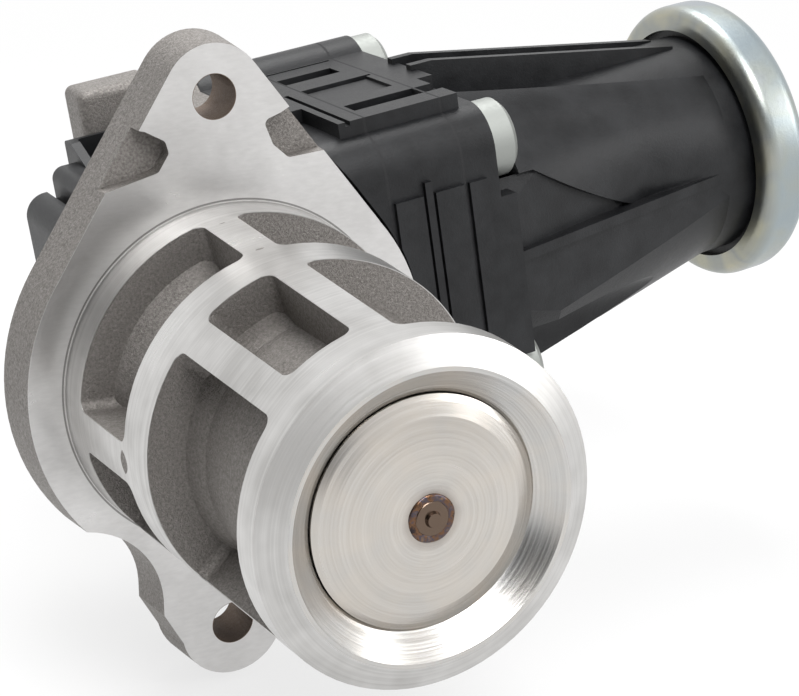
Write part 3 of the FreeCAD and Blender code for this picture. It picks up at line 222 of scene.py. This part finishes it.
def cast_body_finish():
    """Cast aluminium, bright where the cone of the cage, the flange face and rim are machined; painted shade
    darkens the walls of the bolt holes and the undercut at the collar's foot.
    """
    cone_skin, face_skin, rim_skin, wall_skin = 0.12, 0.06, 0.1, 0.06
    foot, undercut_out, undercut_half = 0.2, 0.25, 0.14
    cast_low, cast_high, cast_blotch = (0.13, 0.12, 0.111), (0.36, 0.34, 0.322), (0.20, 0.185, 0.172)
    turned_low, turned_high, face_tone = (0.46, 0.452, 0.44), (0.66, 0.652, 0.64), (0.72, 0.71, 0.705)
    # Painted shade: near black for the undercut ring at the collar's foot, dark brown for the walls of the
    # bolt holes
    undercut_shade_tone, hole_shade_tone = (0.10, 0.095, 0.09), (0.17, 0.125, 0.095)

    finish = Finish("cast_aluminium")
    spot = finish.spot()
    x, y, z = finish.split(spot)
    radius = finish.radius(x, z)
    cone = finish.calc("MULTIPLY_ADD", y, (COLLAR_RADIUS - LIP_RADIUS) / LIP_FRONT, COLLAR_RADIUS)
    near_cone = finish.within(finish.calc("SUBTRACT", radius, cone), 0.0, cone_skin)
    on_cone = finish.calc("MULTIPLY", near_cone, finish.calc("LESS_THAN", y, foot))
    on_face = finish.within(y, 0.0, face_skin)
    on_rim = finish.calc("LESS_THAN", y, rim_skin - LIP_FRONT)
    turned = finish.calc("MAXIMUM", on_cone, on_rim)
    machined = finish.calc("MAXIMUM", turned, on_face)
    # The walls of the two bolt holes, which get painted shade as if in shadow
    wall = HOLE_RADIUS + wall_skin
    top_hole, low_hole = (finish.calc("LESS_THAN", finish.radius(x, z, (HOLE_X, hole_z)), wall)
                          for hole_z in (TOP_HOLE_Z, LOW_HOLE_Z))
    hole_shade_mask = finish.calc("MAXIMUM", top_hole, low_hole)
    # The undercut ring at the collar's foot on the face, which gets painted shade as if the groove were in
    # shadow
    round_foot = finish.within(radius, COLLAR_RADIUS + undercut_out, undercut_half)
    undercut_shade_mask = finish.calc("MULTIPLY", on_face, round_foot)

    grain = finish.noise(spot, 2.4, detail=5.0, rough=0.75)
    pits = finish.noise(spot, 4.5, detail=2.0, rough=0.6)
    blotch = finish.noise(spot, 0.11)
    cast = finish.mix(finish.ramp(grain, (0.32, 0.0), (0.70, 1.0)), cast_low, cast_high)
    cast = finish.mix(finish.calc("MULTIPLY", blotch, 0.4), cast, cast_blotch)

    marks = lathe_marks(finish, radius, x, y, z, 2.2)
    feed_lines = finish.add("VectorMath", {"operation": "MULTIPLY"}, i0=spot, i1=(0.5, 1.0, 1.6))
    milled = finish.noise(feed_lines, 1.1, detail=4.0)
    cloud = finish.noise(spot, 0.075, rough=0.6)
    lines = finish.mix(on_face, marks, milled)
    shade = finish.calc("MULTIPLY_ADD", lines, 0.35, finish.calc("MULTIPLY", cloud, 0.65))
    bright = finish.mix(finish.ramp(shade, (0.38, 0.0), (0.62, 1.0)), turned_low, turned_high)
    bright = finish.mix(finish.calc("MULTIPLY", on_face, 0.5), bright, face_tone)

    colour = finish.mix(machined, cast, bright)
    # Painted shade in the undercut ring at the collar's foot
    colour = finish.mix(finish.calc("MULTIPLY", undercut_shade_mask, 0.7), colour, undercut_shade_tone)
    # Painted shade on the walls of the bolt holes
    colour = finish.mix(hole_shade_mask, colour, hole_shade_tone)
    bright_rough = finish.ramp(shade, (0.35, 0.38), (0.65, 0.27))
    cast_rough = finish.ramp(grain, (0.3, 0.66), (0.7, 0.40))
    cast_height = finish.calc("ADD", finish.calc("MULTIPLY", grain, 0.7), finish.calc("MULTIPLY", pits, 0.3))
    height = finish.mix(machined, cast_height, finish.calc("MULTIPLY", lines, 0.05))
    finish.set(Base_Color=colour, Roughness=finish.mix(machined, cast_rough, bright_rough),
               Metallic=finish.ramp(machined, (0.0, 0.70), (1.0, 1.0)),
               Anisotropic=finish.calc("MULTIPLY", turned, 0.72), Tangent=round_the_stem(finish, x, z),
               Normal=finish.bump(height, 0.26, 0.85))
    return finish.material


def turned_steel_finish(name, low, high, weld_heat):
    """Steel turned about the stem: fine rings, a shine that fans out, and a warm tint round a weld."""
    drift_tone, heat_tone, heat_reach, heat_wander = (0.66, 0.585, 0.50), (0.10, 0.058, 0.034), 8.0, 1.6
    finish = Finish(name, Metallic=1.0, Anisotropic=0.75)
    spot = finish.spot()
    x, y, z = finish.split(spot)
    radius = finish.radius(x, z)
    rings = lathe_marks(finish, radius, x, y, z, 3.0)
    drift = finish.noise(spot, 0.16)
    colour = finish.mix(finish.ramp(rings, (0.3, 0.0), (0.7, 1.0)), low, high)
    colour = finish.mix(finish.ramp(drift, (0.35, 0.0), (0.75, 0.4)), colour, drift_tone)
    if weld_heat:
        away = finish.calc("ADD", radius, finish.calc("MULTIPLY", drift, heat_wander))
        heat = finish.ramp(finish.calc("DIVIDE", away, heat_reach), (0.40, 0.9), (0.52, 0.3), (0.66, 0.0))
        colour = finish.mix(heat, colour, heat_tone)
    finish.set(Base_Color=colour, Roughness=finish.ramp(rings, (0.3, 0.19), (0.7, 0.28)),
               Tangent=round_the_stem(finish, x, z), Normal=finish.bump(rings, 0.008, 0.4))
    return finish.material


def plastic_finish(name, colour, pale, rough=(0.36, 0.52)):
    """Moulded plastic: a fine spark-eroded grain, slightly paler where it is rubbed."""
    finish = Finish(name, Specular_IOR_Level=0.3)
    spot = finish.spot()
    grain = finish.noise(spot, 2.2, detail=5.0, rough=0.7)
    rubbed = finish.noise(spot, 0.16, detail=5.0, rough=0.6)
    uneven = finish.calc("MULTIPLY_ADD", grain, 0.4, finish.calc("MULTIPLY", rubbed, 0.6))
    finish.set(Base_Color=finish.mix(finish.ramp(rubbed, (0.35, 0.0), (0.75, 1.0)), colour, pale),
               Roughness=finish.ramp(uneven, (0.3, rough[0]), (0.7, rough[1])),
               Normal=finish.bump(grain, 0.08, 0.6))
    return finish.material


def cap_finish():
    """Passivated zinc of the pressed cap: bluish on its side, yellow to grey on the lip that is curled in."""
    lip_end, side_start, reach, worn_tone = 104.0, 106.0, 200.0, (0.40, 0.42, 0.43)
    side_stops = ((0.34, (0.29, 0.36, 0.395)), (0.46, (0.325, 0.385, 0.40)), (0.54, (0.35, 0.385, 0.35)),
                  (0.66, (0.33, 0.36, 0.395)))
    lip_stops = ((0.36, (0.40, 0.385, 0.26)), (0.50, (0.27, 0.28, 0.25)), (0.62, (0.46, 0.43, 0.29)))
    finish = Finish("zinc_cap", Metallic=1.0)
    spot = finish.spot()
    x, y, z = finish.split(spot)
    along = finish.calc("MULTIPLY_ADD", z, math.sin(LEAN), finish.calc("MULTIPLY", x, math.cos(LEAN)))
    film = finish.noise(spot, 0.075, rough=0.5)
    speck = finish.noise(spot, 3.0, rough=0.6)
    share = finish.calc("DIVIDE", along, reach)
    on_side = finish.ramp(share, (lip_end / reach, 0.0), (side_start / reach, 1.0))
    colour = finish.mix(on_side, finish.ramp(film, *lip_stops), finish.ramp(film, *side_stops))
    bands = finish.noise(finish.add("CombineXYZ", X=along), 2.2, rough=0.6)
    worn = finish.calc("MULTIPLY_ADD", bands, 0.5, finish.calc("MULTIPLY", speck, 0.2))
    finish.set(Base_Color=finish.mix(worn, colour, worn_tone),
               Roughness=finish.ramp(speck, (0.3, 0.30), (0.7, 0.44)),
               Normal=finish.bump(speck, 0.04, 0.5))
    return finish.material


def metal_finish(name, low, high, rough):
    """Plain metal with a fine cloudy grain."""
    finish = Finish(name, Metallic=1.0)
    grain = finish.noise(finish.spot(), 2.0, detail=4.0, rough=0.6)
    finish.set(Base_Color=finish.mix(grain, low, high),
               Roughness=finish.ramp(grain, (0.3, rough * 0.8), (0.7, rough * 1.2)),
               Normal=finish.bump(grain, 0.02, 0.4))
    return finish.material


def weld_finish():
    """Weld metal, dark brown and blue, paler on its crests."""
    finish = Finish("weld_metal", Metallic=0.9)
    film = finish.noise(finish.spot(), 0.9, detail=4.0, rough=0.6)
    colour = finish.ramp(film, (0.32, (0.035, 0.028, 0.030)), (0.46, (0.16, 0.085, 0.045)),
                         (0.58, (0.07, 0.065, 0.085)), (0.72, (0.26, 0.16, 0.09)))
    finish.set(Base_Color=colour, Roughness=finish.ramp(film, (0.3, 0.22), (0.7, 0.42)),
               Normal=finish.bump(film, 0.06, 0.6))
    return finish.material


def dress(material, *names):
    """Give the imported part's nodes a material."""
    for name in names:
        nodes[name].data.materials.clear()
        nodes[name].data.materials.append(material)


def round_steps(count):
    """Angles of a number of even steps round a circle."""
    return np.linspace(0, math.tau, count, endpoint=False)


def grid_faces(rows, columns, ring):
    """Faces of a grid of points that are stored row by row and whose columns go round.

    The rows go round too in a ring, and otherwise a face closes the first row and the last.
    """
    first, second = np.meshgrid(np.arange(rows if ring else rows - 1), np.arange(columns), indexing="ij")
    below, beside = (first + 1) % rows, (second + 1) % columns
    quads = np.stack([first * columns + second, first * columns + beside, below * columns + beside,
                      below * columns + second], -1)
    faces = quads.reshape(-1, 4).tolist()
    if not ring:
        last = (rows - 1) * columns
        faces += [list(range(columns)), list(range(last, last + columns))[::-1]]
    return faces


def add_grid(name, points, material, body, ring=False, crease=None):
    """Make a closed piece of a grid of points in millimetres, and let it ride on a body."""
    mesh = bpy.data.meshes.new(name)
    mesh.from_pydata((points.reshape(-1, 3) * MM).tolist(), [], grid_faces(*points.shape[:2], ring))
    mesh.validate()
    form = bmesh.new()
    form.from_mesh(mesh)
    bmesh.ops.recalc_face_normals(form, faces=form.faces)
    form.to_mesh(mesh)
    form.free()
    mesh.shade_smooth()
    if crease is not None:
        mesh.set_sharp_from_angle(angle=math.radians(crease))
    mesh.materials.append(material)
    piece = bpy.data.objects.new(name, mesh)
    bpy.context.scene.collection.objects.link(piece)
    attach(piece, body)
    return piece


def weld_ring(material):
    """Weld bead round the stem's end: an oval section carried round the stem's axis.

    Sines of the turn make its height ripple and its width swell a little.
    """
    bead_radius, half_width, half_height = 2.62, 0.58, 0.30
    turn = round_steps(96)[:, None]
    lap = round_steps(16)
    ripple = 1 + 0.16 * np.sin(9 * turn + 0.7 * np.sin(2 * turn)) + 0.05 * np.sin(23 * turn)
    radius = bead_radius + half_width * np.cos(lap) * (1 + 0.05 * np.sin(5 * turn))
    forward = POPPET_FRONT + half_height * ripple * np.sin(lap)
    points = np.stack([radius * np.cos(turn), -forward, radius * np.sin(turn)], -1)
    piece = add_grid("weld_ring", points, material, "poppet", ring=True)


def return_coil(material):
    """The return spring as a round wire carried along a helix about the stem's axis.
    """
    steps, gap, half = 312, 0.05, SPRING_WIRE / 2
    share = np.linspace(0, 1, steps)[:, None]
    lap = round_steps(12)
    turn = math.tau * SPRING_COILS * share
    first, last = SPRING_FLOOR + gap + half, PLATE_REAR - gap - half
    radius = SPRING_RADIUS + half * np.cos(lap)
    depth = first + (last - first) * share + half * np.sin(lap)
    points = np.stack([radius * np.cos(turn), depth, -radius * np.sin(turn)], -1)
    piece = add_grid("return_coil", points, material, "body")
    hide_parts("return_spring")
    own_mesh(piece)


def from_actuator(along, back, up):
    """Points given in the leaning actuator's axes, with x and z turned by the lean into the part's own."""
    return np.stack([along * math.cos(LEAN) - up * math.sin(LEAN), back,
                     along * math.sin(LEAN) + up * math.cos(LEAN)], -1)


def housing_neck(material):
    """Smooth gusset on the front of the motor tube, as a closed solid.

    Rows run along the motor and columns round it, from an upper to a lower crease, at angles in degrees from
    straight up. The radius is the tube's plus a rise that falls along the tube, sooner at the lower crease,
    less a shallow dip in line with the screw. Two more columns inside the tube's wall close it.
    """
    rows, columns, right = 36, 48, 101.0
    beside_head, head_gap = 0.2, 0.5
    upper_angle, upper_sweep, upper_length, upper_height = 30.0, 7.0, 46.0, 9.5
    lower_angle, lower_sweep, lower_length, lower_height = 64.0, 26.5, 21.0, 8.6
    lower_bend, lower_fall, easing = 57.8, 24.0, 1.5
    dip_depth, dip_angle, dip_width = 1.0, 49.6, 8.0
    edge_sunk, base_sunk = 0.1, 1.0

    share = np.linspace(0, 1, columns)[None, :]
    start = np.where(share > beside_head, HEAD_RIGHT + head_gap, FLANGE_RIGHT)
    along = start + (right - start) * np.linspace(0, 1, rows)[:, None]
    past_flange, past_bend = along - FLANGE_RIGHT, along - lower_bend
    upper = upper_angle + upper_sweep * past_flange / upper_length
    lower = lower_angle + lower_sweep * np.clip(past_bend / lower_length, 0, 1)
    angle = upper + (lower - upper) * share
    left_over = 1 - past_flange / (right - FLANGE_RIGHT)
    upper_rise = upper_height * left_over
    lower_rise = lower_height * np.clip(1 - past_bend / lower_fall, 0, 1)
    dip = dip_depth * np.exp(-((angle - dip_angle) / dip_width) ** 2) * left_over
    radius = TUBE_RADIUS - edge_sunk + upper_rise + (lower_rise - upper_rise) * share ** easing - dip

    along = np.concatenate([along, along[:, -1:], along[:, :1]], 1)
    angle = np.radians(np.concatenate([angle, angle[:, -1:], angle[:, :1]], 1))
    radius = np.concatenate([radius, np.full((rows, 2), TUBE_RADIUS - base_sunk)], 1)
    points = from_actuator(along, MOTOR_BACK - radius * np.sin(angle), MOTOR_UP + radius * np.cos(angle))
    piece = add_grid("housing_neck", points, material, "body", crease=28)


def pressed_cap(material):
    """The end cap as pressed: a cup turned about the motor's axis, with round corners and a curled lip.

    The profile runs from the axis along the inner wall to the mouth, and back along the outer wall.
    """
    front, rear, steps, sides = 2.6, 3.2, 14, 160
    hub, lip_edge = 1.0, 0.2

    def corner(middle, size, first, last):
        """Arc of the profile round a middle, between two angles from the radial direction."""
        angle = np.radians(np.linspace(first, last, steps))
        return np.stack([middle[0] + size * np.sin(angle), middle[1] + size * np.cos(angle)], -1)

    front_middle = (CAP_LEFT + front, CAP_RADIUS - front)
    rear_middle = (CAP_RIGHT - rear, CAP_RADIUS - rear)
    profile = np.concatenate([
        [(CAP_RIGHT - CAP_WALL, hub)],
        corner(rear_middle, rear - CAP_WALL, 90, 0),
        corner(front_middle, front - CAP_WALL, 0, -90),
        [(CAP_LEFT + CAP_WALL, CAP_MOUTH), (CAP_LEFT, CAP_MOUTH), (CAP_LEFT, CAP_MOUTH + lip_edge)],
        corner(front_middle, front, -90, 0),
        corner(rear_middle, rear, 0, 90),
        [(CAP_RIGHT, hub)]])
    turn = round_steps(sides)
    along, radius = profile[:, :1], profile[:, 1:]
    points = from_actuator(along, MOTOR_BACK + radius * np.cos(turn), MOTOR_UP + radius * np.sin(turn))
    piece = add_grid("pressed_cap", points, material, "body", crease=40)
    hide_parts("end_cap")


def add_floor():
    """Pale paper under the lowest ear, whose white glow is fainter near the object."""
    reach, drop, glow_reach = 3.0, 0.0004, 1000.0
    level = cad_box[0][2] - drop
    mesh = bpy.data.meshes.new("floor")
    mesh.from_pydata([(-reach, -reach, level), (reach, -reach, level), (reach, reach, level),
                      (-reach, reach, level)], [], [(0, 1, 2, 3)])
    paper = Finish("floor_paper", Base_Color=(0.9, 0.9, 0.9, 1), Roughness=0.9)
    x, y, z = paper.split(paper.spot())
    away = paper.ramp(paper.calc("DIVIDE", paper.radius(x, y), glow_reach), (0.18, 0.75), (0.8, 1.0))
    glow = paper.add("Emission", Color=(1, 1, 1, 1), Strength=1.0)
    blend = paper.add("MixShader", i0=paper.calc("MULTIPLY", paper.seen_white(), away),
                      i1=paper.surface.outputs[0], i2=glow)
    paper.feed(paper.tree.nodes["Material Output"].inputs["Surface"], blend)
    mesh.materials.append(paper.material)
    floor = bpy.data.objects.new("floor", mesh)
    bpy.context.scene.collection.objects.link(floor)


def add_surround():
    """White surround that lights the object at half strength and is dark on the left of the paper.

    The dark side is only for rays that don't come from the camera, and gives the turned metal its contrast.
    """
    dark_side = Vector((-0.86, -0.42, 0.05)).normalized()
    world = bpy.data.worlds.new("surround")
    world.use_nodes = True
    room = Nodes(world.node_tree)
    towards_dark = room.add("VectorMath", {"operation": "DOT_PRODUCT"}, "Value",
                            i0=room.add("TexCoord", output="Generated"), i1=dark_side)
    shade = room.add("MapRange", Value=towards_dark, From_Min=0.45, From_Max=0.80, To_Min=1.0, To_Max=0.10)
    shown = room.calc("MAXIMUM", shade, room.add("LightPath", output="Is Camera Ray"))
    strength = room.add("MapRange", Value=room.seen_white(), To_Min=0.50, To_Max=1.0)
    backdrop = world.node_tree.nodes["Background"]
    room.feed(backdrop.inputs["Color"], shown)
    room.feed(backdrop.inputs["Strength"], strength)
    bpy.context.scene.world = world


def add_lamps():
    """Soft square lamps: name, place and size in metres, and power in watts."""
    lit_spot = Vector((0.03, 0, 0))
    lamps = (("key", (-0.10, -0.60, 0.80), 0.45, 7.0), ("fill", (0.75, -0.55, 0.35), 0.4, 2.2),
             ("top", (0.1, 0.35, 0.85), 0.5, 5.0))
    for name, place, size, power in lamps:
        lamp = bpy.data.lights.new(name, "AREA")
        lamp.shape = "SQUARE"
        lamp.size = size
        lamp.energy = power
        holder = bpy.data.objects.new(name, lamp)
        aim = lit_spot - Vector(place)
        holder.matrix_world = Matrix.Translation(place) @ aim.to_track_quat("-Z", "Y").to_matrix().to_4x4()
        bpy.context.scene.collection.objects.link(holder)


add_camera()
add_floor()
add_surround()
add_lamps()
bpy.context.scene.view_settings.view_transform = "Standard"

dress(cast_body_finish(), "valve_body")
dress(turned_steel_finish("seat_steel", (0.44, 0.437, 0.428), (0.62, 0.615, 0.605), False),
      "seat_ring", "cam_box_plug")
dress(turned_steel_finish("poppet_steel", (0.49, 0.47, 0.442), (0.59, 0.568, 0.54), True),
      "poppet_disc", "valve_stem")
black_plastic = plastic_finish("black_plastic", (0.0065, 0.0068, 0.0078), (0.018, 0.0187, 0.0205),
                               rough=(0.34, 0.5))
dress(black_plastic, "gear_cover", "gear_housing", "motor_housing", "sensor_cover", "brush_holder",
      "motor_end_bell")
housing_neck(black_plastic)
pressed_cap(cap_finish())
dress(metal_finish("zinc_screws", (0.28, 0.292, 0.277), (0.40, 0.413, 0.396), 0.58),
      "housing_screws", "cover_screws", "motor_can")
dark_steel = metal_finish("dark_steel", (0.22, 0.22, 0.23), (0.38, 0.38, 0.39), 0.32)
dress(dark_steel, "cam_shaft", "lift_cam", "spring_plate", "follower_fork", "roller_pin", "cam_roller",
      "idler_pin", "motor_shaft", "rotor_core", "shaft_bearing", "seal_cup")
return_coil(dark_steel)
dress(metal_finish("bronze", (0.40, 0.24, 0.11), (0.58, 0.38, 0.19), 0.38),
      "guide_bush", "shaft_bush", "motor_bearing_front", "motor_bearing_rear", "motor_pinion")
dress(metal_finish("copper", (0.50, 0.20, 0.09), (0.72, 0.36, 0.20), 0.30), "rotor_windings", "commutator")
dress(metal_finish("tinned_brass", (0.62, 0.58, 0.48), (0.80, 0.77, 0.68), 0.28), "connector_terminals")
dress(metal_finish("magnet_black", (0.05, 0.05, 0.055), (0.10, 0.10, 0.11), 0.5),
      "motor_magnets", "sensor_magnet", "brushes")
dress(plastic_finish("gear_plastic", (0.62, 0.60, 0.52), (0.72, 0.70, 0.62)), "cam_gear", "idler_gear")
dress(plastic_finish("rubber", (0.018, 0.018, 0.019), (0.03, 0.03, 0.032), (0.65, 0.8)),
      "stem_seal", "shaft_seal", "case_gasket", "gear_gasket", "motor_gasket", "cover_gasket", "cap_seal",
      "motor_spacer")
dress(plastic_finish("board_lacquer", (0.02, 0.12, 0.06), (0.04, 0.18, 0.09)), "sensor_board")
weld_ring(weld_finish())
